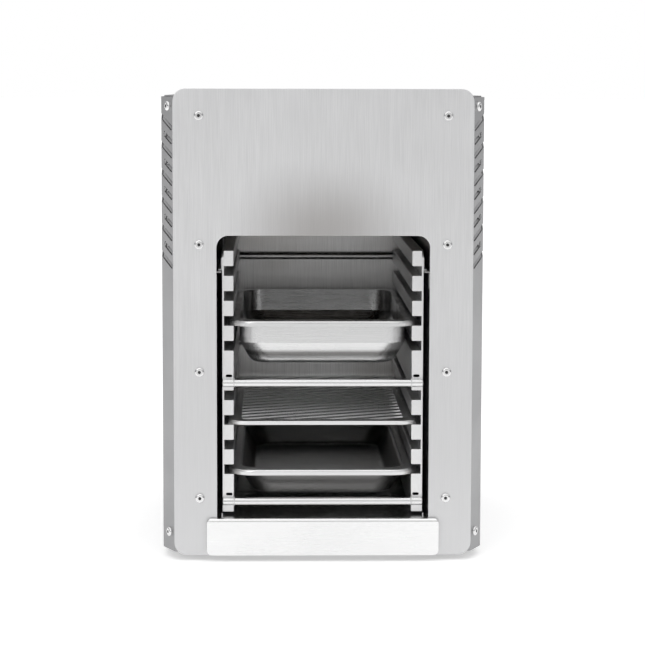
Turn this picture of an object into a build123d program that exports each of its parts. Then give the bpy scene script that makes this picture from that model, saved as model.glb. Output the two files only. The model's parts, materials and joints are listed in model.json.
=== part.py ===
from build123d import *
import math
import os

# ------------------------------------------------------------------ frame
# Millimetres. x runs across, z up from the floor. Every depth below is measured backwards
# from the front plate's face; save() moves the model so that its box is centred on y = 0.

# ------------------------------------------------------------------ driving dimensions
plate_w = 277.0
plate_h = 434.0
plate_z = 5.0
plate_t = 2.0
plate_corner = 12.0
opening_w = 197.0
opening_low = 38.9
opening_high = 304.0
opening_top_r = 11.0
opening_low_r = 3.0
plate_screw_x = 114.6
plate_screw_z = (59.0, 177.4, 295.8, 414.2)

casing_w = 300.0
casing_low = 8.0
casing_high = 431.4
bevel_depth = 27.0
sheet = 1.2
bend_r = 1.0
rear_y = 390.0
cover_inset = 3.0

louvre_slope = 26.0
louvre_gap = 5.0
louvre_run = 33.0
louvre_pitch = 40.0
louvre_columns = 4
louvre_front = 3.5
louvre_first_ends = (36.0, 22.0)
louvre_line_z = 400.1
louvre_line_step = 12.73
louvre_field = (275.0, 412.0)

chamber_half_w = 100.0
chamber_back = 355.0
chamber_floor_top = 36.6
chamber_top = 384.0
liner_t = 1.0

rack_half_w = 93.6
rack_front = 14.0
rack_back = 344.0
rack_low = 43.6
rack_high = 289.0
rack_side_t = 1.5
rail_gap_half = 82.9
rail_h = 14.1
rail_pitch = 23.3
rail_wall = 1.0
bar_r = 3.8
bar_hole_r = bar_r + 0.02
bar_heights = (165.9, 54.1)
bar_front_y = 10.5
bar_back_y = 347.5
hanger_z = 270.0

pan_w = 176.0
pan_l = 325.0
pan_front = 4.0
pan_sheet = 0.8
rim_h = 5.4
rim_corner = 25.0
rim_roll = 2.4
pan_body_w = 156.0
tub_corner = 23.0
slide_gap = 0.3

tray_half_w = 94.6
tray_floor_z = 39.3
tray_rim_h = 2.4
tray_back = 345.0
apron_w = 216.0
apron_y = -6.0
apron_low = 5.8

knob_back = 408.0

front_y = -(apron_y + knob_back) / 2

button_r = 4.5
button_h = 2.6
shank_r = 2.0
hole_r = 2.3
thread_r = 2.05
nut_flats = 7.0
nut_h = 3.2

# ------------------------------------------------------------------ helpers


def save(name, *solids):
    """Write one node: one or more separate solids, moved into the part's frame."""
    moved = [Pos(0, front_y, 0) * solid for group in solids for solid in group.solids()]
    shape = moved[0] if len(moved) == 1 else Compound(children=moved)
    shape.label = name
    export_step(shape, f"parts/{name}.step")


def block(x0, x1, y0, y1, z0, z1):
    """A box between two corners."""
    return Pos((x0 + x1) / 2, (y0 + y1) / 2, (z0 + z1) / 2) * Box(x1 - x0, y1 - y0, z1 - z0)


def rod(axis, at, radius, start, end):
    """A cylinder along an axis letter, through the two other coordinates in at."""
    turn = {"x": Rot(0, 90, 0), "y": Rot(-90, 0, 0), "z": Rot(0, 0, 0)}[axis]
    middle = (start + end) / 2
    place = {"x": (middle, *at), "y": (at[0], middle, at[1]), "z": (*at, middle)}[axis]
    return Pos(*place) * turn * Cylinder(radius, end - start)


def rise(sketch, z0, z1):
    """Extrude a plan sketch between two heights."""
    return Pos(0, 0, z0) * extrude(sketch, z1 - z0)


def deepen(sketch, y0, y1):
    """Extrude a sketch of (x, z) between two depths."""
    return Pos(0, y1, 0) * extrude(Plane.XZ * sketch, y1 - y0)


def widen(sketch, x0, x1):
    """Extrude a sketch of (y, z) between two sideways positions."""
    return Pos(x0, 0, 0) * extrude(Plane.YZ * sketch, x1 - x0)


def both_sides(right):
    """A right-hand solid and its left-hand twin."""
    return [right, mirror(right, Plane.YZ)]


def left_of(path, distance):
    """A polyline moved to its left by a distance, corners kept sharp."""
    points = [Vector(*point) for point in path]
    normals = []
    for start, end in zip(points, points[1:]):
        along = (end - start).normalized()
        normals.append(Vector(-along.Y, along.X))
    moved = []
    for index, point in enumerate(points):
        before = normals[max(index - 1, 0)]
        after = normals[min(index, len(normals) - 1)]
        moved.append(point + (before + after) * (distance / (1 + before.dot(after))))
    return [(point.X, point.Y) for point in moved]


def round_corners(sketch, points, radius):
    """Round the sketch's corners that lie on the given points."""
    chosen = []
    for vertex in sketch.vertices():
        here = Vector(vertex.X, vertex.Y)
        if any((here - Vector(*point)).length < 0.01 for point in points):
            chosen.append(vertex)
    return fillet(chosen, radius)


def bent_sheet(path, near=0.0, far=sheet, inner_r=bend_r):
    """Outline of a folded sheet left of a path whose bends all turn left."""
    outer = left_of(path, near)
    inner = left_of(path, far)
    outline = Polygon(*outer, *reversed(inner), align=None)
    outline = round_corners(outline, outer[1:-1], inner_r + far - near)
    return round_corners(outline, inner[1:-1], inner_r)


def placed(shape, origin, outward):
    """Turn a shape's +Z to point outward, at an origin."""
    return Plane(origin=origin, z_dir=outward) * shape


# ------------------------------------------------------------------ fasteners


def button_screw(length, radius=shank_r, head_r=button_r, head_h=button_h):
    """A button-head socket screw, its head above z = 0 and its shank below."""
    head = Pos(0, 0, head_h / 2) * Cylinder(head_r, head_h)
    head = fillet(head.edges().group_by(Axis.Z)[-1], head_h * 0.72)
    socket = RegularPolygon(head_r * 0.33, 6, major_radius=False)
    head -= Pos(0, 0, head_h * 0.45) * extrude(socket, head_h)
    return head + Pos(0, 0, -length / 2) * Cylinder(radius, length)


def lining_screw(length):
    """The small screw of the chamber's sheets."""
    return button_screw(length, 1.5, 3.2, 1.8)


def hex_nut():
    """A nut that sits below z = 0."""
    body = extrude(RegularPolygon(nut_flats / 2, 6, major_radius=False), -nut_h)
    return body - Pos(0, 0, -nut_h / 2) * Cylinder(thread_r, nut_h * 2)


def plate_screw_points():
    return [(side * plate_screw_x, z) for side in (-1, 1) for z in plate_screw_z]


# ------------------------------------------------------------------ outer casing

bevel_front_x = 138.2
casing_half = casing_w / 2
bevel_run = bevel_depth - plate_t
bevel_length = math.hypot(casing_half - bevel_front_x, bevel_run)
bevel_outward = (bevel_run / bevel_length, -(casing_half - bevel_front_x) / bevel_length, 0)
bevel_screw_y = 11.5
bevel_screw_x = bevel_front_x + (casing_half - bevel_front_x) * (bevel_screw_y - plate_t) / bevel_run
bevel_screw_z = (plate_z + 20.3, plate_z + plate_h - 16.2)
front_flange_x = 106.0
rear_flange_x = 132.0
rear_panel_t = 1.2
casing_rear = rear_y - rear_panel_t
casing_path = [
    (front_flange_x, plate_t),
    (bevel_front_x, plate_t),
    (casing_half, bevel_depth),
    (casing_half, casing_rear),
    (rear_flange_x, casing_rear),
]
base_shelf_w = 16.0
top_shelf_w = 30.0
shelf_front = bevel_depth + 8
shelf_back = casing_rear - 6
cover_screw_points = [(side * 126.0, y) for side in (-1, 1) for y in (60.0, 205.0, 350.0)]
base_screw_points = [(side * 141.0, y) for side in (-1, 1) for y in (60.0, 205.0, 350.0)]
rear_screw_points = [(side * 139.0, z) for side in (-1, 1) for z in (30.0, 160.0, 285.0, 408.0)]


def front_plate():
    face = Pos(0, plate_z + plate_h / 2) * RectangleRounded(plate_w, plate_h, plate_corner)
    opening_h = opening_high - opening_low
    centre_z = (opening_high + opening_low) / 2
    face -= Pos(0, centre_z) * RectangleRounded(opening_w, opening_h, opening_top_r)
    foot_h = opening_h / 2
    face -= Pos(0, opening_low + foot_h / 2) * RectangleRounded(opening_w, foot_h, opening_low_r)
    for x, z in plate_screw_points():
        face -= Pos(x, z) * Circle(hole_r)
    plate = deepen(face, 0, plate_t)
    rim = [edge for edge in plate.edges().group_by(Axis.Y)[0] if edge.bounding_box().size.length > 20]
    return fillet(rim, 0.5)


def louvre_cuts():
    """Slots along slanted lines, low at the front, every second line shifted like bricks."""
    rise_per_y = math.tan(math.radians(louvre_slope))
    slots = Sketch()
    for line in range(18):
        for column in range(louvre_columns):
            back = louvre_first_ends[line % 2] + column * louvre_pitch
            front = max(back - louvre_run, louvre_front)
            y = (front + back) / 2
            z = louvre_line_z - line * louvre_line_step + y * rise_per_y
            if louvre_field[0] < z < louvre_field[1]:
                length = math.hypot(back - front, (back - front) * rise_per_y)
                slots += Pos(y, z) * Rot(0, 0, louvre_slope) * SlotOverall(length, louvre_gap)
    return widen(slots, bevel_front_x - 2, casing_half + 2)


def side_casing():
    casing = rise(bent_sheet(casing_path), casing_low, casing_high)
    for z, width in ((casing_low, base_shelf_w), (casing_high - sheet, top_shelf_w)):
        casing += block(casing_half - width, casing_half - sheet / 2, shelf_front, shelf_back, z, z + sheet)
    casing -= louvre_cuts()
    for z in plate_screw_z:
        casing -= rod("y", (plate_screw_x, z), hole_r, 0, 8)
    for z in bevel_screw_z:
        origin = (bevel_screw_x, bevel_screw_y, z)
        casing -= placed(Cylinder(hole_r, 8), origin, bevel_outward)
    for x, y in cover_screw_points:
        casing -= rod("z", (x, y), thread_r, casing_high - 4, casing_high + 1)
    for x, y in base_screw_points:
        casing -= rod("z", (x, y), hole_r, casing_low - 1, casing_low + 4)
    for x, z in rear_screw_points:
        casing -= rod("y", (x, z), thread_r, casing_rear - 4, casing_rear + 1)
    return casing


def corner_bracket(z):
    """A short angle inside the bevel that takes one bevel screw."""
    inside = left_of(casing_path, sheet)
    along = 0.72
    start = (120.0, inside[0][1])
    end_x = inside[1][0] + (inside[2][0] - inside[1][0]) * along
    end_y = inside[1][1] + (inside[2][1] - inside[1][1]) * along
    outline = bent_sheet([start, inside[1], (end_x, end_y)], 0, 2.0, 1.0)
    bracket = rise(outline, z - 8, z + 8)
    origin = (bevel_screw_x, bevel_screw_y, z)
    return bracket - placed(Cylinder(thread_r, 20), origin, bevel_outward)


def cover_outline(inset, front=plate_t, back=casing_rear):
    """Plan of the top and base sheets: square at the back, bevelled at the front."""
    half = casing_half - inset
    front_half = bevel_front_x - inset
    points = [
        (-front_half, front),
        (front_half, front),
        (half, bevel_depth),
        (half, back),
        (-half, back),
        (-half, bevel_depth),
    ]
    return Polygon(*points, align=None)


def top_cover():
    cover = rise(cover_outline(cover_inset), casing_high, casing_high + sheet)
    for row in range(3):
        for column in range(9):
            vent = SlotOverall(22.0, 4.0, rotation=90)
            place = Pos((column - 4) * 18.0, 265.0 + row * 34.0)
            cover -= rise(place * vent, casing_high - 1, casing_high + 3)
    for x, y in cover_screw_points:
        cover -= rod("z", (x, y), hole_r, casing_high - 1, casing_high + 3)
    return cover


base_low = casing_low + sheet
base_top = base_low + sheet
foot_points = [(side * 108.0, y) for side in (-1, 1) for y in (42.0, 348.0)]
foot_r = 13.0
foot_recess_r = 6.0
foot_recess = 3.4


def base_plate():
    inside_front = plate_t + sheet + 0.3
    inside_back = casing_rear - sheet - 0.3
    base = rise(cover_outline(sheet + 0.5, inside_front, inside_back), base_low, base_top)
    for x, y in base_screw_points + foot_points:
        base -= rod("z", (x, y), hole_r, base_low - 2, base_top + 2)
    return base


def foot(x, y):
    body = rod("z", (x, y), foot_r, 0, base_low)
    body = fillet(body.edges().group_by(Axis.Z)[0], 1.6)
    body -= rod("z", (x, y), foot_recess_r, -1, foot_recess)
    return body - rod("z", (x, y), hole_r, 0, base_low + 1)


# ------------------------------------------------------------------ chamber lining

ledge_t = 1.2
runner_x = 70.0
runner_w = 6.0
liner_screw_z = (90.0, 210.0, 330.0)
flange_y = 361.0
ceiling_screw_y = (60.0, 200.0, 330.0)
ceiling_screw_x = 107.0
ledge_screw_y = (120.0, 280.0)


def liner():
    """Right-hand chamber wall with a front flange and a top flange."""
    inner = chamber_half_w
    outer = inner + liner_t
    wall = block(inner, outer, plate_t, 366, base_top, chamber_top)
    wall += block(inner, 105, plate_t, plate_t + liner_t, base_top, chamber_top)
    wall += block(inner, 112, 20, 352, chamber_top - liner_t, chamber_top)
    for z in liner_screw_z:
        wall -= rod("x", (flange_y, z), 1.7, inner - 2, outer + 2)
    for y in ceiling_screw_y:
        wall -= rod("z", (ceiling_screw_x, y), 1.55, chamber_top - 3, chamber_top + 1)
    for y in ledge_screw_y:
        wall -= rod("x", (y, hanger_z - 10), 1.7, inner - 2, outer + 2)
    return wall


element_legs = (-74.0, -46.0, -14.0, 14.0, 46.0, 74.0)
element_z = 334.0
bush_r = 7.0
element_r = 4.0


def back_wall():
    path = [
        (-chamber_half_w, 366.0),
        (-chamber_half_w, chamber_back),
        (chamber_half_w, chamber_back),
        (chamber_half_w, 366.0),
    ]
    wall = rise(bent_sheet(path, 0, liner_t), base_top, chamber_top)
    for z in liner_screw_z:
        wall -= rod("x", (flange_y, z), 1.55, -chamber_half_w - 2, chamber_half_w + 2)
    for x in element_legs:
        wall -= rod("y", (x, element_z), bush_r + 0.05, chamber_back - 3, chamber_back + 6)
    return wall


def chamber_floor():
    low = chamber_floor_top - liner_t
    return block(-chamber_half_w, chamber_half_w, plate_t, chamber_back, low, chamber_floor_top)


def tray_runner(side):
    top = tray_floor_z - slide_gap
    return block(
        side * runner_x - runner_w / 2,
        side * runner_x + runner_w / 2,
        8,
        350,
        chamber_floor_top,
        top,
    )


def rack_ledge():
    """An angle on the right-hand liner that carries the rack's hanger."""
    inner = chamber_half_w
    top = hanger_z - slide_gap
    ledge = block(94.4, inner, 16, 345, top - ledge_t, top)
    ledge += block(inner - ledge_t, inner, 16, 345, top - 16, top)
    for y in ledge_screw_y:
        ledge -= rod("x", (y, hanger_z - 10), 1.55, inner - 4, inner + 1)
    return ledge


def ceiling():
    sheet_top = chamber_top + liner_t
    plate = block(-112, 112, 8, 366, chamber_top, sheet_top)
    for side in (-1, 1):
        for y in ceiling_screw_y:
            plate -= rod("z", (side * ceiling_screw_x, y), 1.7, chamber_top - 1, sheet_top + 1)
    return plate


# ------------------------------------------------------------------ heater

reflector_path = [
    (chamber_half_w, 308.0),
    (chamber_half_w, 320.0),
    (84.0, 352.0),
    (-84.0, 352.0),
    (-chamber_half_w, 320.0),
    (-chamber_half_w, 308.0),
]
reflector_t = 0.8
bracket_y = (70.0, 200.0, 320.0)
bracket_t = 1.2


def reflector():
    plate = deepen(bent_sheet(reflector_path, 0, reflector_t), 14, 352)
    for y in bracket_y:
        for x in (-60, 60):
            plate -= rod("z", (x, y + 6), 1.7, 349, 354)
    return plate


def element_bracket(y):
    """A strip that hangs from the reflector and holds the heating tubes."""
    top = 352.0 - reflector_t
    strip = block(-80, 80, y, y + bracket_t, element_z - 8, top)
    strip += block(-80, 80, y, y + 12, top - bracket_t, top)
    for x in element_legs:
        strip -= rod("y", (x, element_z), element_r + 0.05, y - 1, y + bracket_t + 1)
    for x in (-60, 60):
        strip -= rod("z", (x, y + 6), 1.55, top - 4, top + 1)
    return strip


def heating_element(first, second):
    """A hairpin tube: two legs along y, joined at the front."""
    front = 28.0
    back = 368.0
    half = (second - first) / 2
    points = [
        (first, back, element_z),
        (first, front, element_z),
        (second, front, element_z),
        (second, back, element_z),
    ]
    path = FilletPolyline(*points, radius=half * 0.98)
    section = Plane(origin=points[0], z_dir=(0, -1, 0)) * Circle(element_r)
    tube = sweep(section, path)
    for x in (first, second):
        tube += rod("y", (x, element_z), 1.5, back, back + 10)
    return tube


def element_bush(x):
    """A ceramic sleeve where a tube passes the back wall."""
    front = chamber_back - 3
    back = chamber_back + 7
    sleeve = rod("y", (x, element_z), bush_r, front, back)
    sleeve += rod("y", (x, element_z), bush_r + 3, front, chamber_back)
    return sleeve - rod("y", (x, element_z), element_r + 0.05, front - 1, back + 1)


def heat_shield():
    low = opening_high + 2
    shield = block(-99.5, 99.5, 8, 9, low, chamber_top)
    return shield + block(-99.5, 99.5, 8, 13.5, low, low + 1)


def insulation():
    right = [(83, 354.4), (98, 368), (98, 383.5)]
    left = [(-x, z) for x, z in reversed(right)]
    outline = Polygon(*right, *left, align=None)
    return deepen(outline, 16, 350)


# ------------------------------------------------------------------ rack

rail_back = rack_back
long_rails = (4, 9)
rail_tops = [rack_high - rail_pitch * index for index in range(10)]


def rail_spans():
    """Bottom and top of every rail, each long one standing in for two."""
    spans = []
    for index, top in enumerate(rail_tops):
        if index - 1 in long_rails:
            continue
        bottom = top - rail_h
        if index in long_rails:
            bottom -= rail_pitch
        spans.append((max(bottom, rack_low), top))
    return spans


def rack_rail(bottom, top):
    """A right-hand rail: a shallow pan of sheet, open towards the rack's side."""
    inner = rail_gap_half
    outer = rack_half_w - rack_side_t
    rail = block(inner, outer, rack_front, rail_back, bottom, top)
    edges = rail.faces().sort_by(Axis.X)[0].edges()
    rail = fillet(edges, 1.2)
    rail -= block(
        inner + rail_wall,
        outer + 1,
        rack_front + rail_wall,
        rail_back - rail_wall,
        bottom + rail_wall,
        top - rail_wall,
    )
    for z in bar_heights:
        if bottom < z < top:
            rail -= rod("x", (bar_front_y, z), bar_hole_r, 70, 110)
            rail -= rod("x", (bar_back_y, z), bar_hole_r, 70, 110)
            eye = SlotOverall(6.0, 2.6)
            rail -= deepen(Pos((inner + outer) / 2, z + bar_r + 2.4) * eye, rack_front - 1, rack_front + 2)
    if bottom < upper_back_bar_z < top:
        rail -= rod("x", (bar_back_y, upper_back_bar_z), bar_hole_r, 70, 110)
    return rail


upper_back_bar_z = rail_tops[1] - rail_h / 2


def rack_side():
    outline = Pos((rack_front + rail_back) / 2, (rack_low + rack_high) / 2) * RectangleRounded(
        rail_back - rack_front, rack_high - rack_low, 11.0
    )
    outline += Pos((rack_front + rail_back) / 2, rack_low + 10) * Rectangle(rail_back - rack_front, 20)
    side = widen(outline, rack_half_w - rack_side_t, rack_half_w)
    for y, z in [(bar_front_y, z) for z in bar_heights] + back_bars():
        side -= rod("x", (y, z), bar_hole_r, 70, 110)
    return side


def back_bars():
    return [(bar_back_y, upper_back_bar_z)] + [(bar_back_y, z) for z in bar_heights]


def cross_bar(y, z):
    half = rack_half_w
    bar = rod("x", (y, z), bar_r, -half, half)
    return chamfer(bar.edges().filter_by(GeomType.CIRCLE), 0.6)


def rack_hanger():
    """An angle on the rack's side that rests on the liner's ledge."""
    inner = rack_half_w
    hanger = block(inner, 97.2, 24, 340, hanger_z, hanger_z + 1.2)
    return hanger + block(inner, inner + 1.2, 24, 340, hanger_z, hanger_z + 12)


# ------------------------------------------------------------------ pans, grate, drip tray


def pan_tub(grow, straight, depth, taper, foot_radius):
    """The pan's body below z = 0, its walls moved out by grow."""
    width = pan_body_w + 2 * grow
    length = pan_l - pan_w + pan_body_w + 2 * grow
    top = RectangleRounded(width, length, tub_corner + grow)
    low = RectangleRounded(width - 2 * taper, length - 2 * taper, tub_corner - 3 + grow)
    body = extrude(top, -straight)
    body += loft([Pos(0, 0, -straight) * top, Pos(0, 0, -depth) * low])
    return fillet(body.edges().group_by(Axis.Z)[0], foot_radius)


def pan(rim_top, straight, depth, taper, foot_radius):
    """A pan with a rolled rim and a tub that narrows towards its floor."""
    outline = RectangleRounded(pan_w, pan_l, rim_corner)
    rim = extrude(outline, -rim_h)
    rim = fillet(rim.edges().group_by(Axis.Z)[-1], rim_roll)
    hollow_w = pan_w - 2 * pan_sheet
    hollow = RectangleRounded(hollow_w, hollow_w + pan_l - pan_w, rim_corner - pan_sheet)
    hollow = Pos(0, 0, -pan_sheet - rim_h) * extrude(hollow, rim_h)
    hollow = fillet(hollow.edges().group_by(Axis.Z)[-1], rim_roll - pan_sheet)
    shell = (rim - hollow) + pan_tub(0, straight, depth, taper, foot_radius)
    shell -= pan_tub(-pan_sheet, straight, depth - pan_sheet, taper, foot_radius - pan_sheet)
    return Pos(0, pan_front + pan_l / 2, rim_top) * shell


# A piece slides in the groove above a rail, so its place follows that rail's top.
upper_pan_rim_top = rail_tops[3] + slide_gap + rim_h
lower_pan_rim_top = rail_tops[9] + slide_gap + rim_h
grate_low = rail_tops[7] + slide_gap
grate_t = 3.6
grate_corner = 18.0
grate_skid_h = 1.2
grate_skid_w = 7.0
grate_pitch = 19.0
grate_slot = 8.6
grate_slope = 25.0
grate_margin = 12.0


def upper_pan():
    return pan(upper_pan_rim_top, 21.8, 42.0, 11.0, 9.0)


def lower_pan():
    return pan(lower_pan_rim_top, 3.0, 26.5, 13.0, 8.0)


def grill_grate():
    """A flat plate with parallel slanted slots inside a plain margin, on two side skids."""
    window = RectangleRounded(pan_w - 2 * grate_margin, pan_l - 2 * grate_margin, 8.0)
    slots = Sketch()
    count = int(pan_l / grate_pitch) + 6
    for index in range(count):
        offset = (index - (count - 1) / 2) * grate_pitch
        slots += Pos(0, offset) * Rot(0, 0, grate_slope) * Rectangle(pan_w * 1.3, grate_slot)
    plate = RectangleRounded(pan_w, pan_l, grate_corner) - (slots & window)
    solid = Pos(0, 0, grate_skid_h) * extrude(plate, grate_t)
    rim = [edge for edge in solid.edges().group_by(Axis.Z)[-1] if on_outline(edge)]
    solid = fillet(rim, 1.2)
    skid_length = pan_l - 2 * grate_corner
    for side in (-1, 1):
        centre = side * (pan_w - grate_skid_w) / 2
        solid += Pos(centre, 0) * extrude(Rectangle(grate_skid_w, skid_length), grate_skid_h)
    return Pos(0, pan_front + pan_l / 2, grate_low) * solid


def on_outline(edge):
    """Whether an edge of the grate lies outside its slotted window."""
    middle = edge @ 0.5
    return abs(middle.X) > pan_w / 2 - grate_margin + 1 or abs(middle.Y) > pan_l / 2 - grate_margin + 1


def drip_tray():
    """A flat tray whose front folds down over the plate as an apron."""
    top = tray_floor_z + sheet
    half = tray_half_w
    profile = bent_sheet([(apron_y, apron_low), (apron_y, top), (6.0, top)][::-1], 0, sheet, 2.0)
    apron = widen(profile, -apron_w / 2, apron_w / 2)
    front = Pos(0, (apron_low + top) / 2) * RectangleRounded(apron_w, top - apron_low, 5.0)
    front += Pos(0, tray_floor_z + 5) * Rectangle(2 * half, 20)
    apron &= deepen(front, apron_y - 1, 10)
    apron -= block(half, 120, -0.6, 10, 0, 60)
    apron -= block(-120, -half, -0.6, 10, 0, 60)
    tray = apron + block(-half, half, 5, tray_back, tray_floor_z, top)
    for side in (-1, 1):
        x0, x1 = sorted((side * (half - 1.0), side * half))
        tray += block(x0, x1, 9, tray_back, tray_floor_z, top + tray_rim_h)
    return tray + block(-half, half, tray_back - 1, tray_back, tray_floor_z, top + tray_rim_h)


# ------------------------------------------------------------------ electrics on the rear panel

control_z = 62.0
inlet_x = 84.0
switch_x = 42.0
lamp_x = 8.0
knob_x = -52.0
inlet_w = 27.0
inlet_h = 19.6
inlet_screw_pitch = 40.0
switch_w = 20.6
switch_h = 28.6
rocker_w = 15.0
rocker_h = 22.0
rocker_pin_y = rear_y - 1.6
rocker_tilt = 8.0
shaft_r = 3.0
regulator_screw_z = 16.0


def rear_panel():
    face = Pos(0, (casing_low + casing_high) / 2) * Rectangle(casing_w - 6, casing_high - casing_low - 4)
    face -= Pos(inlet_x, control_z) * Rectangle(inlet_w + 0.4, inlet_h + 0.4)
    face -= Pos(switch_x, control_z) * Rectangle(switch_w + 0.4, switch_h + 0.4)
    face -= Pos(lamp_x, control_z) * Circle(5.1)
    face -= Pos(knob_x, control_z) * Circle(shaft_r + 1.0)
    for side in (-1, 1):
        face -= Pos(inlet_x + side * inlet_screw_pitch / 2, control_z) * Circle(1.7)
        face -= Pos(knob_x, control_z + side * regulator_screw_z) * Circle(1.7)
    for x, z in rear_screw_points:
        face -= Pos(x, z) * Circle(hole_r)
    for row in range(6):
        for column in range(5):
            face -= Pos((column - 2) * 44.0, 300 + row * 15.0) * SlotOverall(34.0, 4.0)
    return deepen(face, casing_rear, rear_y)


def power_inlet():
    flange = Pos(inlet_x, control_z) * RectangleRounded(50.0, 24.0, 5.0)
    body = deepen(flange, rear_y, rear_y + 3.0)
    body += deepen(Pos(inlet_x, control_z) * Rectangle(inlet_w, inlet_h), rear_y - 20, rear_y + 3.0)
    recess = Rectangle(24.2, 16.4)
    recess = chamfer(recess.vertices().group_by(Axis.Y)[-1], 4.0)
    body -= deepen(Pos(inlet_x, control_z) * recess, rear_y - 15, rear_y + 4)
    for side in (-1, 1):
        screw = (inlet_x + side * inlet_screw_pitch / 2, control_z)
        body -= rod("y", screw, 1.7, rear_y - 1, rear_y + 4)
    for x, z in inlet_pin_points():
        body -= block(x - 1.0, x + 1.0, rear_y - 21, rear_y - 14, z - 2.0, z + 2.0)
    return body


def inlet_pin_points():
    return [
        (inlet_x - 7.0, control_z - 1.0),
        (inlet_x, control_z + 3.0),
        (inlet_x + 7.0, control_z - 1.0),
    ]


def inlet_pins():
    pins = []
    for x, z in inlet_pin_points():
        pin = block(x - 1.0, x + 1.0, rear_y - 28, rear_y + 0.5, z - 2.0, z + 2.0)
        pins.append(chamfer(pin.edges().group_by(Axis.Y)[-1], 0.5))
    return pins


def switch_frame():
    outer = Pos(switch_x, control_z) * RectangleRounded(24.0, 32.0, 2.0)
    frame = deepen(outer, rear_y, rear_y + 2.0)
    frame += deepen(Pos(switch_x, control_z) * Rectangle(switch_w, switch_h), rear_y - 18, rear_y)
    well = Rectangle(rocker_w + 1, rocker_h + 2)
    frame -= deepen(Pos(switch_x, control_z) * well, rear_y - 14, rear_y + 3)
    frame -= rod("x", (rocker_pin_y, control_z), 1.25, switch_x - 9.3, switch_x + 9.3)
    for z in (control_z - 8, control_z + 8):
        frame += block(switch_x - 2.4, switch_x + 2.4, rear_y - 25, rear_y - 18, z - 0.4, z + 0.4)
    return frame


def power_rocker():
    """A rocker with two sloping faces on a pin, stored with its upper end pressed in."""
    half = rocker_h / 2
    y0 = rocker_pin_y
    outline = Polygon(
        (y0 - 3.5, control_z - half + 1.5),
        (y0 + 3.6, control_z - half),
        (y0 + 1.8, control_z),
        (y0 + 3.6, control_z + half),
        (y0 - 3.5, control_z + half - 1.5),
        align=None,
    )
    rocker = widen(outline, switch_x - rocker_w / 2, switch_x + rocker_w / 2)
    rocker += rod("x", (y0, control_z), 1.2, switch_x - 9.0, switch_x + 9.0)
    axis = Axis((switch_x, y0, control_z), (1, 0, 0))
    return rocker.rotate(axis, rocker_tilt)


regulator_back = casing_rear
regulator_depth = 22.0
shaft_end = knob_back - 4.0
knob_front = rear_y + 1.2


def regulator_body():
    front = regulator_back - regulator_depth
    body = block(knob_x - 21, knob_x + 21, front, regulator_back, control_z - 21, control_z + 21)
    body = fillet(body.edges().filter_by(Axis.Y), 4.0)
    body -= rod("y", (knob_x, control_z), shaft_r + 0.05, regulator_back - 14, regulator_back + 1)
    for side in (-1, 1):
        screw = (knob_x, control_z + side * regulator_screw_z)
        body -= rod("y", screw, 1.55, regulator_back - 8, regulator_back + 1)
    for x in (-12, 0, 12):
        tab = block(knob_x + x - 2.4, knob_x + x + 2.4, front - 7, front, control_z + 7.6, control_z + 8.4)
        body += tab
    return body


def regulator_shaft():
    shaft = rod("y", (knob_x, control_z), shaft_r, regulator_back - 13.7, shaft_end)
    flat = block(knob_x - 4, knob_x + 4, knob_front + 4, shaft_end + 1, control_z + 1.8, control_z + 4)
    return shaft - flat


def regulator_knob():
    """A skirted knob with shallow finger flutes and a raised pointer."""
    knob = rod("y", (knob_x, control_z), 18.0, knob_front, knob_front + 3.0)
    grip = rod("y", (knob_x, control_z), 14.0, knob_front + 3.0, knob_back)
    for step in range(18):
        angle = math.radians(step * 20 + 10)
        spot = (knob_x + 14.6 * math.cos(angle), control_z + 14.6 * math.sin(angle))
        grip -= rod("y", spot, 1.5, knob_front + 3.0, knob_back + 1)
    grip = grip - rod("y", (knob_x, control_z), 11.5, knob_back - 1.0, knob_back + 1)
    grip += block(knob_x - 0.8, knob_x + 0.8, knob_back - 1.2, knob_back, control_z + 4, control_z + 12.6)
    knob += grip
    bore = rod("y", (knob_x, control_z), shaft_r + 0.05, knob_front - 1, shaft_end + 0.05)
    flat = block(knob_x - 4, knob_x + 4, knob_front + 4.05, shaft_end + 1, control_z + 1.85, control_z + 4)
    return knob - (bore - flat)


def indicator_lamp():
    lens = rod("y", (lamp_x, control_z), 6.5, rear_y, rear_y + 3.2)
    lens = fillet(lens.edges().group_by(Axis.Y)[-1], 2.4)
    return lens + rod("y", (lamp_x, control_z), 5.0, rear_y - 12, rear_y)


def terminal_block():
    y1 = casing_rear - 9
    body = block(-30, 30, chamber_back + liner_t, y1, 205, 219)
    for index in range(4):
        x = -22.5 + index * 15
        body -= rod("y", (x, 212), 3.0, y1 - 6, y1 + 1)
        body -= rod("z", (x, y1 - 9), 2.0, 204, 220)
    return body


def safety_thermostat():
    disc = rod("y", (-70, 255), 9.0, chamber_back + liner_t, chamber_back + liner_t + 9)
    ears = block(-84, -56, chamber_back + liner_t, chamber_back + liner_t + 1, 250, 260)
    for x in (-80, -60):
        ears -= rod("y", (x, 255), 1.6, chamber_back, chamber_back + 4)
    for z in (251, 259):
        low = chamber_back + liner_t + 9
        disc += block(-72.4, -67.6, low, low + 7, z - 0.4, z + 0.4)
    return disc + ears


def earth_stud():
    """A threaded stud on the base plate, with a washer and a nut."""
    x, y = -66.0, 376.0
    stud = rod("z", (x, y), shank_r, base_top, base_top + 14)
    washer_low = base_top + 3.0
    washer = rod("z", (x, y), 4.5, washer_low, washer_low + 0.8)
    washer -= rod("z", (x, y), thread_r, washer_low - 1, washer_low + 2)
    return [stud, washer, Pos(x, y, washer_low + 0.8 + nut_h) * hex_nut()]


# ------------------------------------------------------------------ assembly


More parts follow.
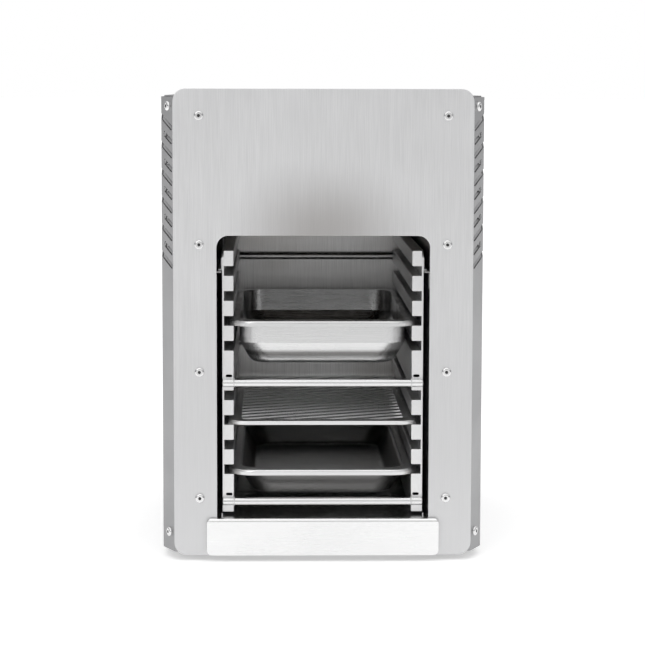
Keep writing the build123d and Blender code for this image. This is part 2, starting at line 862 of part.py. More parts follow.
def outer_nodes():
    save("front_plate", front_plate())
    plate_screws = []
    nuts = []
    for x, z in plate_screw_points():
        plate_screws.append(placed(button_screw(9.0), (x, 0, z), (0, -1, 0)))
        nuts.append(placed(hex_nut(), (x, plate_t + sheet, z), (0, -1, 0)))
    save("front_plate_screws", *plate_screws)
    save("front_plate_nuts", *nuts)

    casing, casing_left = both_sides(side_casing())
    save("side_casing_right", casing)
    save("side_casing_left", casing_left)
    brackets = []
    bevel_screws = []
    for z in bevel_screw_z:
        brackets += both_sides(corner_bracket(z))
        origin = (bevel_screw_x, bevel_screw_y, z)
        bevel_screws += both_sides(placed(button_screw(6.0), origin, bevel_outward))
    save("corner_brackets", *brackets)
    save("bevel_screws", *bevel_screws)

    save("top_cover", top_cover())
    cover_top = casing_high + sheet
    cover_screw = button_screw(5.0, head_h=2.2)
    screws = [placed(cover_screw, (x, y, cover_top), (0, 0, 1)) for x, y in cover_screw_points]
    save("top_cover_screws", *screws)
    save("base_plate", base_plate())
    screws = [placed(button_screw(5.0), (x, y, casing_low), (0, 0, -1)) for x, y in base_screw_points]
    nuts = [placed(hex_nut(), (x, y, base_top), (0, 0, -1)) for x, y in base_screw_points]
    save("base_screws", *screws)
    save("base_nuts", *nuts)
    save("feet", *[foot(x, y) for x, y in foot_points])
    screws = [placed(button_screw(12.0), (x, y, foot_recess), (0, 0, -1)) for x, y in foot_points]
    nuts = [placed(hex_nut(), (x, y, base_top), (0, 0, -1)) for x, y in foot_points]
    save("foot_screws", *screws)
    save("foot_nuts", *nuts)
    save("rear_panel", rear_panel())
    screws = [placed(button_screw(5.0), (x, rear_y, z), (0, 1, 0)) for x, z in rear_screw_points]
    save("rear_panel_screws", *screws)


def lining_nodes():
    right, left = both_sides(liner())
    save("liner_right", right)
    save("liner_left", left)
    save("back_wall", back_wall())
    save("chamber_floor", chamber_floor())
    save("tray_runners", tray_runner(-1), tray_runner(1))
    save("rack_ledges", *both_sides(rack_ledge()))
    save("ceiling", ceiling())
    screws = []
    outside = chamber_half_w + liner_t
    for z in liner_screw_z:
        screws += both_sides(placed(lining_screw(5.0), (outside, flange_y, z), (1, 0, 0)))
    for y in ledge_screw_y:
        screws += both_sides(placed(lining_screw(2.2), (outside, y, hanger_z - 10), (1, 0, 0)))
    for y in ceiling_screw_y:
        origin = (ceiling_screw_x, y, chamber_top + liner_t)
        screws += both_sides(placed(lining_screw(4.0), origin, (0, 0, 1)))
    save("lining_screws", *screws)


def heater_nodes():
    save("heat_reflector", reflector())
    save("element_brackets", *[element_bracket(y) for y in bracket_y])
    screws = []
    for y in bracket_y:
        for x in (-60, 60):
            screws.append(placed(lining_screw(3.4), (x, y + 6, 352), (0, 0, 1)))
    save("bracket_screws", *screws)
    pairs = list(zip(element_legs[::2], element_legs[1::2]))
    save("heating_elements", *[heating_element(first, second) for first, second in pairs])
    save("element_bushes", *[element_bush(x) for x in element_legs])
    save("heat_shield", heat_shield())
    save("insulation_mat", insulation())


def rack_nodes():
    side, side_left = both_sides(rack_side())
    save("rack_side_right", side)
    save("rack_side_left", side_left)
    rails = [rack_rail(bottom, top) for bottom, top in rail_spans()]
    save("rack_rails_right", *rails)
    save("rack_rails_left", *[mirror(rail, Plane.YZ) for rail in rails])
    save("rack_front_bars", *[cross_bar(bar_front_y, z) for z in bar_heights])
    save("rack_back_bars", *[cross_bar(y, z) for y, z in back_bars()])
    save("rack_hangers", *both_sides(rack_hanger()))


def food_nodes():
    save("upper_pan", upper_pan())
    save("grill_grate", grill_grate())
    save("lower_pan", lower_pan())
    save("drip_tray", drip_tray())


def electric_nodes():
    save("power_inlet", power_inlet())
    save("inlet_pins", *inlet_pins())
    screws = []
    for side in (-1, 1):
        point = (inlet_x + side * inlet_screw_pitch / 2, rear_y + 3.0, control_z)
        screws.append(placed(button_screw(8.0, 1.5, 2.8, 1.6), point, (0, 1, 0)))
    save("inlet_screws", *screws)
    save("switch_frame", switch_frame())
    save("power_rocker", power_rocker())
    save("regulator_body", regulator_body())
    save("regulator_shaft", regulator_shaft())
    save("regulator_knob", regulator_knob())
    screws = []
    for side in (-1, 1):
        point = (knob_x, rear_y, control_z + side * regulator_screw_z)
        screws.append(placed(button_screw(7.0, 1.5, 2.0, 0.5), point, (0, 1, 0)))
    save("regulator_screws", *screws)
    save("indicator_lamp", indicator_lamp())
    save("terminal_block", terminal_block())
    save("safety_thermostat", safety_thermostat())
    save("earth_stud", *earth_stud())


def main():
    os.makedirs("parts", exist_ok=True)
    outer_nodes()
    lining_nodes()
    heater_nodes()
    rack_nodes()
    food_nodes()
    electric_nodes()


main()
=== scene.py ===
import json
import math

import bmesh
import bpy
from mathutils import Matrix, Vector


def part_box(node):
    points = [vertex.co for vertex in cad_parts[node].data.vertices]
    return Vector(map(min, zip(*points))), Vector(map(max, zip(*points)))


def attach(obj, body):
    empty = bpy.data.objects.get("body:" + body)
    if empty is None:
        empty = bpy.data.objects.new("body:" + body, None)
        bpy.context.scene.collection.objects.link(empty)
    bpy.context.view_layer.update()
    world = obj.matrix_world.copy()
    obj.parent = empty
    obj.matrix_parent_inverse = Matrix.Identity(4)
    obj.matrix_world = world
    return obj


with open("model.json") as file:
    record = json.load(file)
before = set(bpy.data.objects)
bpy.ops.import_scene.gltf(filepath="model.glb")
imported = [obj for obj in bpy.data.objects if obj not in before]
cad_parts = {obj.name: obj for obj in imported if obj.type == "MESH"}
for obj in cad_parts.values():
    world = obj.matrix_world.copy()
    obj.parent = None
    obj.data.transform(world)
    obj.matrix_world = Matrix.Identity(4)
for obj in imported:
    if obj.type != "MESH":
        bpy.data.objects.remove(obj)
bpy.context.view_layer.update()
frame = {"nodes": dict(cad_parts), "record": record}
NODES = frame["nodes"]
RECORD = frame["record"]

# ------------------------------------------------------------------ shader helpers


def node_tree(name):
    """A new material, its node tree and its Principled shader."""
    material = bpy.data.materials.new(name)
    material.use_nodes = True
    tree = material.node_tree
    shader = tree.nodes["Principled BSDF"]
    return material, tree, shader


def add(tree, kind, **values):
    """A shader node with its properties and input values set by name."""
    node = tree.nodes.new(kind)
    for key, value in values.items():
        if hasattr(node, key):
            setattr(node, key, value)
        else:
            node.inputs[key.replace("_", " ")].default_value = value
    return node


def link(tree, source, output, target, entry):
    """Join one node's output to another's input, both by name or number."""
    tree.links.new(source.outputs[output], target.inputs[entry])


def noise(tree, scale, detail=3.0, roughness=0.5):
    """Noise in metres over the object, with its own scale along each axis."""
    place = add(tree, "ShaderNodeTexCoord")
    stretch = add(tree, "ShaderNodeMapping")
    stretch.inputs["Scale"].default_value = scale
    link(tree, place, "Object", stretch, "Vector")
    texture = add(tree, "ShaderNodeTexNoise", Scale=1.0, Detail=detail, Roughness=roughness)
    link(tree, stretch, "Vector", texture, "Vector")
    return texture


def ramp(tree, source, output, low, high, near, far):
    """A smooth change from near to far as the source goes from low to high."""
    change = add(tree, "ShaderNodeMapRange", interpolation_type="SMOOTHSTEP", clamp=True)
    change.inputs["From Min"].default_value = low
    change.inputs["From Max"].default_value = high
    change.inputs["To Min"].default_value = near
    change.inputs["To Max"].default_value = far
    link(tree, source, output, change, "Value")
    return change


def mix_colour(tree, factor, factor_output, first, second):
    """A blend of two colours, either of which may be a node that gives a colour."""
    blend = tree.nodes.new("ShaderNodeMix")
    blend.data_type = "RGBA"
    tree.links.new(factor.outputs[factor_output], blend.inputs["Factor"])
    for entry, value in ((6, first), (7, second)):
        if isinstance(value, bpy.types.NodeSocket):
            tree.links.new(value, blend.inputs[entry])
        else:
            blend.inputs[entry].default_value = (*value, 1.0)
    return blend.outputs[2]


def grain_scale(axis, fine, along=9.0):
    """Noise scale for lines that run along one axis."""
    return tuple(along if letter == axis else fine for letter in "xyz")


def brushed(name, colour, rough, axis, fine=2200.0, contrast=0.05, bump=0.03, shade_with=None):
    """Brushed steel: fine lines along one axis, faint streaks and soft smudges."""
    material, tree, shader = node_tree(name)
    shader.inputs["Metallic"].default_value = 1.0
    lines = noise(tree, grain_scale(axis, fine, 25.0), 3.0, 0.6)
    broad = noise(tree, grain_scale(axis, fine / 12, 5.0), 2.0)
    smudges = noise(tree, (16.0, 16.0, 16.0), 4.0, 0.6)

    dark = tuple(c * (1 - contrast) for c in colour)
    light = tuple(min(1.0, c * (1 + contrast)) for c in colour)
    line_share = ramp(tree, lines, "Fac", 0.3, 0.7, 0.0, 1.0)
    shade = mix_colour(tree, line_share, "Result", dark, light)
    dull = tuple(c * 0.5 for c in colour)
    streak_share = ramp(tree, broad, "Fac", 0.3, 0.75, 0.0, 0.04)
    shade = mix_colour(tree, streak_share, "Result", shade, dull)
    if shade_with:
        shade = shade_with(tree, shade)
    tree.links.new(shade, shader.inputs["Base Color"])

    spread = add(tree, "ShaderNodeMath", operation="ADD")
    line_rough = ramp(tree, lines, "Fac", 0.3, 0.7, rough - 0.04, rough + 0.04)
    smudge_rough = ramp(tree, smudges, "Fac", 0.4, 0.7, 0.0, 0.05)
    link(tree, line_rough, "Result", spread, 0)
    link(tree, smudge_rough, "Result", spread, 1)
    link(tree, spread, "Value", shader, "Roughness")

    relief = add(tree, "ShaderNodeBump", Strength=bump, Distance=0.0002)
    link(tree, lines, "Fac", relief, "Height")
    link(tree, relief, "Normal", shader, "Normal")
    return material


def patchy(tint, amount):
    """A shade that lays a tint over the steel in soft patches, as heat and use do."""

    def shade_with(tree, shade):
        patch = noise(tree, (8.0, 8.0, 11.2), 3.0)
        share = ramp(tree, patch, "Fac", 0.42, 0.72, 0.0, amount)
        return mix_colour(tree, share, "Result", shade, tint)

    return shade_with


def heat_halo(centre, reach, tint, amount):
    """A shade that darkens the steel round a point and fades out with distance."""

    def shade_with(tree, shade):
        place = add(tree, "ShaderNodeTexCoord")
        offset = add(tree, "ShaderNodeMapping", vector_type="TEXTURE")
        offset.inputs["Location"].default_value = centre
        offset.inputs["Scale"].default_value = reach
        link(tree, place, "Object", offset, "Vector")
        distance = add(tree, "ShaderNodeVectorMath", operation="LENGTH")
        link(tree, offset, "Vector", distance, "Vector")
        fade = ramp(tree, distance, "Value", 0.0, 1.0, amount, 0.0)
        return mix_colour(tree, fade, "Result", shade, tint)

    return shade_with


def height_band(low, high, soft, tint, amount):
    """A shade that lays a tint over the steel between two heights, with soft limits."""

    def shade_with(tree, shade):
        place = add(tree, "ShaderNodeTexCoord")
        split = add(tree, "ShaderNodeSeparateXYZ")
        link(tree, place, "Object", split, "Vector")
        above = ramp(tree, split, "Z", low - soft, low + soft, 0.0, 1.0)
        below = ramp(tree, split, "Z", high - soft, high + soft, amount, 0.0)
        inside = add(tree, "ShaderNodeMath", operation="MULTIPLY")
        link(tree, above, "Result", inside, 0)
        link(tree, below, "Result", inside, 1)
        return mix_colour(tree, inside, "Value", shade, tint)

    return shade_with


def layers(*shades):
    """Several shades laid one over the other."""

    def shade_with(tree, shade):
        for lay in shades:
            shade = lay(tree, shade)
        return shade

    return shade_with


def moulded(name, colour, rough, grain=900.0, bump=0.25, spots=0.25):
    """Plastic, rubber or ceramic with a fine moulded grain and slight uneven gloss."""
    material, tree, shader = node_tree(name)
    fine = noise(tree, (grain, grain, grain), 2.0)
    patches = noise(tree, (60.0, 60.0, 60.0), 3.0)
    worn = tuple(min(1.0, c * (1 + spots) + 0.01) for c in colour)
    worn_share = ramp(tree, patches, "Fac", 0.4, 0.7, 0.0, 1.0)
    tree.links.new(mix_colour(tree, worn_share, "Result", colour, worn), shader.inputs["Base Color"])
    gloss = ramp(tree, patches, "Fac", 0.35, 0.65, rough, rough + 0.1)
    link(tree, gloss, "Result", shader, "Roughness")
    relief = add(tree, "ShaderNodeBump", Strength=bump, Distance=0.0003)
    link(tree, fine, "Fac", relief, "Height")
    link(tree, relief, "Normal", shader, "Normal")
    return material


def oxidised(name):
    """Heating tube: dark oxide with brown and straw bands."""
    material, tree, shader = node_tree(name)
    shader.inputs["Metallic"].default_value = 0.6
    bands = noise(tree, (25.0, 60.0, 25.0), 4.0)
    specks = noise(tree, (700.0, 700.0, 700.0), 3.0)
    band_share = ramp(tree, bands, "Fac", 0.4, 0.7, 0.0, 1.0)
    shade = mix_colour(tree, band_share, "Result", (0.06, 0.055, 0.05), (0.2, 0.13, 0.08))
    tree.links.new(shade, shader.inputs["Base Color"])
    gloss = ramp(tree, specks, "Fac", 0.3, 0.7, 0.45, 0.75)
    link(tree, gloss, "Result", shader, "Roughness")
    relief = add(tree, "ShaderNodeBump", Strength=0.3, Distance=0.0003)
    link(tree, specks, "Fac", relief, "Height")
    link(tree, relief, "Normal", shader, "Normal")
    return material


# ------------------------------------------------------------------ materials by slot

plate_low, plate_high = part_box("front_plate")
plate_centre = (plate_low + plate_high) / 2
plate_centre.y = plate_low.y
opening_top = Vector((plate_centre.x, plate_low.y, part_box("heat_shield")[0].z))


def heat_marks_and_painted_shade():
    """What heat and use have left on the front, the lining, the reflector and the pans, and the painted
    shade at the front plate's foot and on the pans' walls.
    """
    pan_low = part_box("upper_pan")[0].z
    used_low, used_high = (corner.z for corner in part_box("lower_pan"))
    return {
        "halo": heat_halo(opening_top, (0.105, 0.1, 0.075), (0.30, 0.28, 0.265), 0.62),
        # painted shade: the front plate darker towards its foot, against the bright floor's reflection
        # there
        "foot": height_band(-1.0, 0.16, 0.16, (0.6, 0.6, 0.605), 0.7),
        "heated": patchy((0.5, 0.46, 0.41), 0.35),
        "straw": patchy((0.42, 0.30, 0.20), 0.5),
        # painted shade: a dark band on the upper pan's lower taper, a painted dark reflection
        "pan_taper_painted_shade": height_band(pan_low + 0.0065, pan_low + 0.0122, 0.0022, (0.17, 0.165, 0.16), 0.85),
        # painted shade: the lower pan's walls dark between rim and floor, a painted dark reflection
        "used_pan_wall_painted_shade": height_band(used_low + 0.0025, used_high - 0.0055, 0.0012, (0.1, 0.095, 0.09), 0.75),
    }


def slot_materials():
    """One finish for each material slot of the record."""
    marks = heat_marks_and_painted_shade()
    # The front's finish: the heat halo, and painted shade darker towards its foot.
    front = layers(marks["halo"], marks["foot"])
    heated, straw = marks["heated"], marks["straw"]
    pan_taper_painted_shade, used_pan_wall_painted_shade = marks["pan_taper_painted_shade"], marks["used_pan_wall_painted_shade"]
    return {
        "front_steel": brushed("front_steel_brushed", (0.77, 0.77, 0.775), 0.37, "z", shade_with=front),
        "casing_steel": brushed("casing_steel_brushed", (0.35, 0.35, 0.355), 0.38, "z"),
        "plain_steel": brushed("plain_steel_rolled", (0.46, 0.46, 0.46), 0.38, "y", contrast=0.1),
        "chamber_steel": brushed(
            "chamber_steel_heated", (0.86, 0.855, 0.85), 0.36, "z", contrast=0.1, shade_with=heated
        ),
        "reflector_steel": brushed(
            "reflector_steel_heated", (0.36, 0.345, 0.325), 0.3, "y", shade_with=straw
        ),
        "rack_steel": brushed("rack_steel_satin", (0.82, 0.82, 0.82), 0.36, "y"),
        "bar_steel": brushed("bar_steel_polished", (0.78, 0.78, 0.78), 0.22, "x"),
        # The pans' walls carry painted shade, a painted dark reflection.
        "pan_steel": brushed(
            "pan_steel_pressed", (0.76, 0.76, 0.76), 0.27, "x", bump=0.02, shade_with=pan_taper_painted_shade
        ),
        "used_pan_steel": brushed(
            "used_pan_steel_pressed", (0.8, 0.8, 0.8), 0.3, "x", shade_with=used_pan_wall_painted_shade
        ),
        "grate_steel": brushed("grate_steel_cut", (0.84, 0.84, 0.84), 0.3, "y", contrast=0.04),
        "tray_steel": brushed("tray_steel_brushed", (0.86, 0.86, 0.86), 0.24, "x", contrast=0.03),
        "screw_steel": brushed("screw_steel_turned", (0.78, 0.78, 0.78), 0.16, "z", fine=2500.0),
        "foot_rubber": moulded("foot_rubber_moulded", (0.03, 0.03, 0.03), 0.7),
        "heater_tube": oxidised("heater_tube_oxidised"),
        "ceramic": moulded("ceramic_glazed", (0.82, 0.79, 0.72), 0.25, bump=0.1, spots=0.08),
        "mineral_wool": moulded("mineral_wool_felt", (0.6, 0.55, 0.42), 0.9, grain=350.0, bump=0.9),
        "black_plastic": moulded("black_plastic_moulded", (0.03, 0.03, 0.032), 0.45),
        "rocker_plastic": moulded("rocker_plastic_smooth", (0.045, 0.045, 0.048), 0.25, bump=0.05),
        "knob_plastic": moulded("knob_plastic_satin", (0.04, 0.04, 0.042), 0.38, bump=0.15),
        "lamp_lens": moulded("lamp_lens_red", (0.5, 0.03, 0.015), 0.12, bump=0.02, spots=0.1),
        "contact_brass": brushed("contact_brass_plated", (0.8, 0.66, 0.36), 0.3, "y"),
    }


MATERIALS = slot_materials()
SLOT_OF = {part["node"]: part["material_slot"] for part in RECORD["subparts"]}


def dress(obj, slot_name):
    """Give a piece its slot's finish."""
    obj.data.materials.clear()
    obj.data.materials.append(MATERIALS[slot_name])


for node_name, node_object in NODES.items():
    dress(node_object, SLOT_OF[node_name])

# ------------------------------------------------------------------ small detail pieces


def new_piece(name, mesh_data, slot_name, body):
    """Make a named piece from a bmesh, finished like a slot and riding on a body."""
    mesh = bpy.data.meshes.new(name)
    mesh_data.to_mesh(mesh)
    mesh_data.free()
    piece = bpy.data.objects.new(name, mesh)
    bpy.context.scene.collection.objects.link(piece)
    dress(piece, slot_name)
    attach(piece, body)


def add_strip(mesh_data, sections, closed=False):
    """Join cross-sections, each a closed loop of points, into one solid strip."""
    rings = [[mesh_data.verts.new(point) for point in section] for section in sections]
    pairs = list(zip(rings, rings[1:]))
    if closed:
        pairs.append((rings[-1], rings[0]))
    for first, second in pairs:
        for index in range(len(first)):
            after = (index + 1) % len(first)
            mesh_data.faces.new((first[index], first[after], second[after], second[index]))
    if not closed:
        mesh_data.faces.new(list(reversed(rings[0])))
        mesh_data.faces.new(rings[-1])


def soften(piece, width):
    """Round the sharp edges of a piece."""
    bevel = piece.modifiers.new("softened_edges", "BEVEL")
    bevel.width = width
    bevel.segments = 3
    bevel.limit_method = "ANGLE"
    bevel.angle_limit = math.radians(35)


# The louvre slots of the side casings, as the CAD has them: metres, behind the plate's face.
LOUVRE_SLOPE = math.tan(math.radians(26.0))
LOUVRE_RUN = 0.033
LOUVRE_PITCH = 0.040
LOUVRE_FRONT = 0.0035
LOUVRE_ENDS = (0.036, 0.022)
LOUVRE_LINE_Z = 0.4001
LOUVRE_LINE_STEP = 0.01273
LOUVRE_FIELD = (0.275, 0.412)

# The tongues of the louvres: thickness, gap at each end, dip at the middle, and where they stand.
TONGUE_T = 0.0006
TONGUE_END_GAP = 0.002
TONGUE_DIP = 0.0008
TONGUE_SETBACK = 0.0016
TONGUE_REACH = 0.0016
TONGUE_DROP = 0.0030
TONGUE_STEPS = 12

# The bevelled front of the side casings, as the CAD has it: metres.
casing_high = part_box("side_casing_right")[1]
BEVEL_FRONT_X = 0.1382
BEVEL_FRONT_Y = 0.002
BEVEL_BACK_Y = 0.027


def louvre_slots():
    """Front and rear end and height at y = 0 of every slot, behind the plate's face."""
    slots = []
    for line in range(18):
        for column in range(4):
            back = LOUVRE_ENDS[line % 2] + column * LOUVRE_PITCH
            front = max(back - LOUVRE_RUN, LOUVRE_FRONT)
            start_z = LOUVRE_LINE_Z - line * LOUVRE_LINE_STEP
            if LOUVRE_FIELD[0] < start_z + (front + back) / 2 * LOUVRE_SLOPE < LOUVRE_FIELD[1]:
                slots.append((front, back, start_z))
    return slots


def casing_x(depth):
    """Outer face of the right casing at a depth behind the plate's face."""
    share = (depth - BEVEL_FRONT_Y) / (BEVEL_BACK_Y - BEVEL_FRONT_Y)
    return BEVEL_FRONT_X + (casing_high.x - BEVEL_FRONT_X) * min(max(share, 0.0), 1.0)


def make_louvre_tongues(side, name):
    """In each slot, the lanced strip of metal folded inwards from the slot's lower edge."""
    tongues = bmesh.new()
    for front, back, start_z in louvre_slots():
        sections = []
        for step in range(TONGUE_STEPS + 1):
            share = step / TONGUE_STEPS
            depth = front + TONGUE_END_GAP + (back - front - 2 * TONGUE_END_GAP) * share
            dip = TONGUE_DIP * math.sin(math.pi * share)
            edge_x = casing_x(depth) - TONGUE_SETBACK
            tip_x = edge_x - TONGUE_REACH - dip
            low = start_z + depth * LOUVRE_SLOPE - TONGUE_DROP
            y = plate_low.y + depth
            sections.append(
                [
                    (side * edge_x, y, low),
                    (side * tip_x, y, low + 0.0008 + dip),
                    (side * (tip_x - TONGUE_T), y, low + 0.0004 + dip),
                    (side * (edge_x - TONGUE_T), y, low - 0.0004),
                ]
            )
        add_strip(tongues, sections)
    bmesh.ops.recalc_face_normals(tongues, faces=tongues.faces)
    new_piece(name, tongues, "casing_steel", "housing")


AXIS_Y = Vector((0, 1, 0))
AXIS_Z = Vector((0, 0, 1))
WELD_R = 0.0006


def ring_sections(centre, across, up, radius, wire, steps=28, around=8):
    """Cross-sections of a round ring in the plane of two directions."""
    normal = across.cross(up)
    sections = []
    for step in range(steps):
        angle = 2 * math.pi * step / steps
        outward = across * math.cos(angle) + up * math.sin(angle)
        middle = centre + outward * radius
        turns = [2 * math.pi * part / around for part in range(around)]
        sections.append(
            [middle + outward * (wire * math.cos(t)) + normal * (wire * math.sin(t)) for t in turns]
        )
    return sections


def make_weld_rings():
    """A thin weld bead round each cross bar where it enters the rack's rails."""
    beads = bmesh.new()
    inner_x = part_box("rack_rails_right")[0].x
    bar_low, bar_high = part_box("rack_front_bars")
    back_low, back_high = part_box("rack_back_bars")
    radius = (bar_high.y - bar_low.y) / 2
    front_y = (bar_low.y + bar_high.y) / 2
    back_y = (back_low.y + back_high.y) / 2
    spots = [
        (front_y, bar_high.z - radius),
        (front_y, bar_low.z + radius),
        (back_y, back_high.z - radius),
    ]
    for side in (-1, 1):
        for y, z in spots:
            centre = Vector((side * (inner_x - 0.0002), y, z))
            add_strip(beads, ring_sections(centre, AXIS_Y, AXIS_Z, radius + 0.0003, WELD_R), closed=True)
    bmesh.ops.recalc_face_normals(beads, faces=beads.faces)
    new_piece("rack_weld_beads", beads, "rack_steel", "rack")


def add_block(mesh_data, low, high):
    """A box between two corners."""
    corners = [(low[0], low[1]), (high[0], low[1]), (high[0], high[1]), (low[0], high[1])]
    add_strip(mesh_data, [[(x, y, z) for x, y in corners] for z in (low[2], high[2])])


DIAL_TICKS = 10
DIAL_FIRST = math.radians(-45)
DIAL_STEP = math.radians(30)
DIAL_R = 0.0205


def make_dial_marks():
    """Raised ticks on the rear panel round the heat regulator's knob, longer at each third one."""
    marks = bmesh.new()
    knob_low, knob_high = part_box("regulator_knob")
    centre = (knob_low + knob_high) / 2
    panel_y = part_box("rear_panel")[1].y
    for step in range(DIAL_TICKS):
        angle = DIAL_FIRST + step * DIAL_STEP
        outward = Vector((math.cos(angle), 0, math.sin(angle)))
        across = Vector((-math.sin(angle), 0, math.cos(angle))) * 0.0005
        length = 0.004 if step % 3 == 0 else 0.0025
        back = Vector((0, 0.0003, 0))
        sections = []
        for reach in (DIAL_R, DIAL_R + length):
            spot = Vector((centre.x, panel_y, centre.z)) + outward * reach
            sections.append([spot - across, spot + across, spot + across + back, spot - across + back])
        add_strip(marks, sections)
    bmesh.ops.recalc_face_normals(marks, faces=marks.faces)
    new_piece("regulator_dial_marks", marks, "black_plastic", "housing")


LABEL_HALF_W = 0.032
LABEL_HALF_H = 0.020
LABEL_T = 0.0006
LABEL_FRAME_W = 0.0015
LABEL_FRAME_T = 0.0003
LABEL_Z = 0.17


def make_rating_plate():
    """A blank metal plate with a raised frame and four rivets on the rear panel."""
    plate = bmesh.new()
    panel_low, panel_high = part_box("rear_panel")
    face = panel_high.y + LABEL_T
    centre_x = panel_low.x * 0.35
    inner_w = LABEL_HALF_W - LABEL_FRAME_W
    inner_h = LABEL_HALF_H - LABEL_FRAME_W
    add_block(
        plate,
        (centre_x - LABEL_HALF_W, panel_high.y, LABEL_Z - LABEL_HALF_H),
        (centre_x + LABEL_HALF_W, face, LABEL_Z + LABEL_HALF_H),
    )
    for low_x, high_x, low_z, high_z in (
        (-LABEL_HALF_W, LABEL_HALF_W, inner_h, LABEL_HALF_H),
        (-LABEL_HALF_W, LABEL_HALF_W, -LABEL_HALF_H, -inner_h),
        (-LABEL_HALF_W, -inner_w, -inner_h, inner_h),
        (inner_w, LABEL_HALF_W, -inner_h, inner_h),
    ):
        low = (centre_x + low_x, face, LABEL_Z + low_z)
        add_block(plate, low, (centre_x + high_x, face + LABEL_FRAME_T, LABEL_Z + high_z))
    for across in (-1, 1):
        for up in (-1, 1):
            spot = Matrix.Translation((centre_x + across * 0.0275, face, LABEL_Z + up * 0.0155))
            flat = Matrix.Diagonal((1.0, 0.6, 1.0, 1.0))
            bmesh.ops.create_uvsphere(
                plate, u_segments=16, v_segments=8, radius=0.0014, matrix=spot @ flat
            )
    new_piece("rating_plate", plate, "plain_steel", "housing")


# The button-head screws of the front, as the CAD has them: metres.
SCREW_HEAD_R = 0.0045
SCREW_HEAD_H = 0.0026
PLATE_SCREW_X = 0.1146
PLATE_SCREW_HEIGHTS = (0.059, 0.1774, 0.2958, 0.4142)
BEVEL_SCREW_DEPTH = 0.0115
BEVEL_SCREW_HEIGHTS = (0.0253, 0.4228)


def add_socket_disc(mesh_data, seat, outward):
    """A thin disc of painted shade at the bottom of a screw's hex socket, from the face the head sits
    on.
    """
    across = outward.cross(AXIS_Z)
    radius = SCREW_HEAD_R * 0.32
    socket_floor = SCREW_HEAD_H * 0.45
    turns = [2 * math.pi * step / 16 for step in range(16)]
    sections = []
    for lift in (socket_floor - 0.0001, socket_floor + 0.0002):
        middle = seat + outward * lift
        sections.append(
            [middle + across * (radius * math.cos(t)) + AXIS_Z * (radius * math.sin(t)) for t in turns]
        )
    add_strip(mesh_data, sections)


def make_socket_painted_shade():
    """Painted shade: dark discs at the bottom of the sockets of the screws that face forwards, standing
    in for the shadow deep in each socket.
    """
    socket_shade = bmesh.new()
    bevel_run = BEVEL_BACK_Y - BEVEL_FRONT_Y
    bevel_outward = Vector((bevel_run, BEVEL_FRONT_X - casing_high.x, 0)).normalized()
    for side in (-1, 1):
        for z in PLATE_SCREW_HEIGHTS:
            add_socket_disc(socket_shade, Vector((side * PLATE_SCREW_X, plate_low.y, z)), -AXIS_Y)
        outward = Vector((side * bevel_outward.x, bevel_outward.y, 0))
        for z in BEVEL_SCREW_HEIGHTS:
            seat = Vector((side * casing_x(BEVEL_SCREW_DEPTH), plate_low.y + BEVEL_SCREW_DEPTH, z))
            add_socket_disc(socket_shade, seat, outward)
    bmesh.ops.recalc_face_normals(socket_shade, faces=socket_shade.faces)
    # The discs take the black plastic finish so that they read as the shadow in the sockets.
    new_piece("screw_socket_painted_shade", socket_shade, "black_plastic", "housing")


make_louvre_tongues(1, "louvre_tongues_right")
make_louvre_tongues(-1, "louvre_tongues_left")
make_weld_rings()
make_dial_marks()
make_rating_plate()
make_socket_painted_shade()
soften(NODES["drip_tray"], 0.0005)

# ------------------------------------------------------------------ floor, light and camera


FLOOR_HALF = 60.0


def make_floor():
    """A plain pale floor that glows a little from just in front of the cabinet backwards."""
    material, tree, shader = node_tree("studio_floor")
    mottled = noise(tree, (3.0, 3.0, 3.0), 3.0)
    share = ramp(tree, mottled, "Fac", 0.3, 0.7, 0.0, 1.0)
    shade = mix_colour(tree, share, "Result", (0.9, 0.9, 0.9), (0.93, 0.93, 0.93))
    tree.links.new(shade, shader.inputs["Base Color"])
    shader.inputs["Roughness"].default_value = 0.8
    shader.inputs["Emission Color"].default_value = (1.0, 1.0, 1.0, 1.0)
    place = add(tree, "ShaderNodeTexCoord")
    split = add(tree, "ShaderNodeSeparateXYZ")
    link(tree, place, "Object", split, "Vector")
    glow = ramp(tree, split, "Y", -1.0, -0.25, 0.0, 0.36)
    link(tree, glow, "Result", shader, "Emission Strength")
    mesh = bpy.data.meshes.new("floor")
    corners = [(-1, -1), (1, -1), (1, 1), (-1, 1)]
    mesh.from_pydata([(FLOOR_HALF * x, FLOOR_HALF * y, 0) for x, y in corners], [], [(0, 1, 2, 3)])
    floor = bpy.data.objects.new("floor", mesh)
    mesh.materials.append(material)
    bpy.context.scene.collection.objects.link(floor)


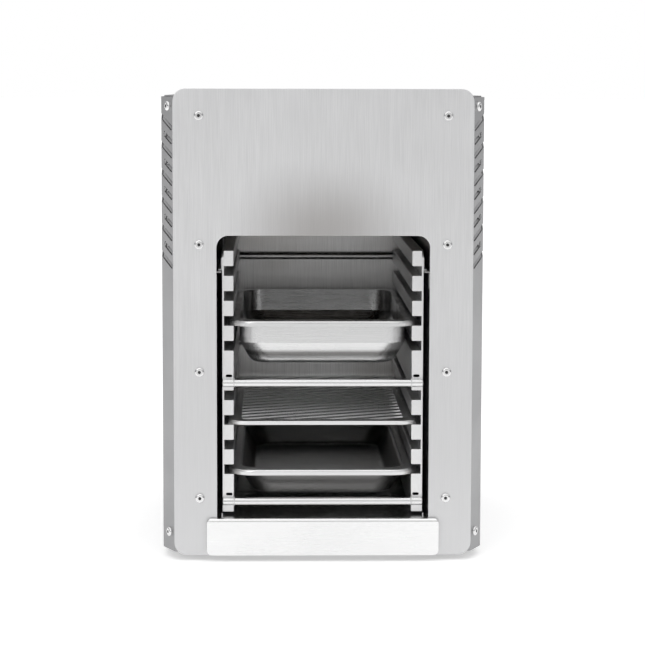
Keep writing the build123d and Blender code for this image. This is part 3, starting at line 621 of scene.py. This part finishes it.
def make_world():
    """White ahead and above, grey behind the camera, and darker to the two sides."""
    world = bpy.data.worlds.new("studio")
    bpy.context.scene.world = world
    world.use_nodes = True
    tree = world.node_tree
    background = tree.nodes["Background"]
    background.inputs["Strength"].default_value = 1.0
    place = add(tree, "ShaderNodeTexCoord")
    split = add(tree, "ShaderNodeSeparateXYZ")
    link(tree, place, "Generated", split, "Vector")
    size = add(tree, "ShaderNodeMath", operation="ABSOLUTE")
    link(tree, split, "X", size, 0)
    aside = ramp(tree, size, "Value", 0.3, 0.85, 0.0, 1.0)
    ahead = ramp(tree, split, "Y", -0.5, 0.4, 0.0, 1.0)
    above = ramp(tree, split, "Z", 0.12, 0.7, 0.0, 1.0)
    colour = mix_colour(tree, ahead, "Result", (0.5, 0.5, 0.5), (1.0, 1.0, 1.0))
    colour = mix_colour(tree, aside, "Result", colour, (0.22, 0.22, 0.23))
    colour = mix_colour(tree, above, "Result", colour, (1.0, 1.0, 1.0))
    tree.links.new(colour, background.inputs["Color"])


def area_light(name, at, size, power):
    """A square soft box that faces the front plate's centre."""
    light = bpy.data.lights.new(name, "AREA")
    light.shape = "RECTANGLE"
    light.size = size
    light.size_y = size
    light.energy = power
    lamp = bpy.data.objects.new(name, light)
    lamp.location = at
    lamp.rotation_mode = "QUATERNION"
    lamp.rotation_quaternion = (plate_centre - Vector(at)).to_track_quat("-Z", "Y")
    bpy.context.scene.collection.objects.link(lamp)


def make_lights():
    """A key light from the left, a weak fill from the right and one from above."""
    area_light("key_box", (-1.1, -2.3, 1.3), 1.2, 5.0)
    area_light("fill_box", (1.3, -2.4, 0.9), 1.2, 1.0)
    area_light("top_box", (0.0, -0.5, 2.2), 1.6, 4.0)


CAMERA_OFFSET = Vector((-0.0456, -2.0343, 0.2215))
CAMERA_TURN_RIGHT = math.radians(1.266)
CAMERA_TILT_DOWN = math.radians(6.165)
CAMERA_ROLL = math.radians(0.131)
FOCAL_PER_WIDTH = 3.4293
SENSOR = 36.0


def make_camera():
    """A long lens a little to the left, level with the cabinet's top edge."""
    data = bpy.data.cameras.new("camera")
    data.sensor_width = SENSOR
    data.lens = SENSOR * FOCAL_PER_WIDTH
    data.clip_start = 0.05
    data.clip_end = 100.0
    turn = Matrix.Rotation(-CAMERA_TURN_RIGHT, 3, "Z")
    tilt = Matrix.Rotation(math.pi / 2 - CAMERA_TILT_DOWN, 3, "X")
    roll = Matrix.Rotation(CAMERA_ROLL, 3, "Z")
    camera = bpy.data.objects.new("camera", data)
    camera.location = plate_centre + CAMERA_OFFSET
    camera.rotation_mode = "QUATERNION"
    camera.rotation_quaternion = (turn @ tilt @ roll).to_quaternion()
    bpy.context.scene.collection.objects.link(camera)
    bpy.context.scene.camera = camera


make_floor()
make_world()
make_lights()
make_camera()
bpy.context.scene.view_settings.view_transform = "Standard"
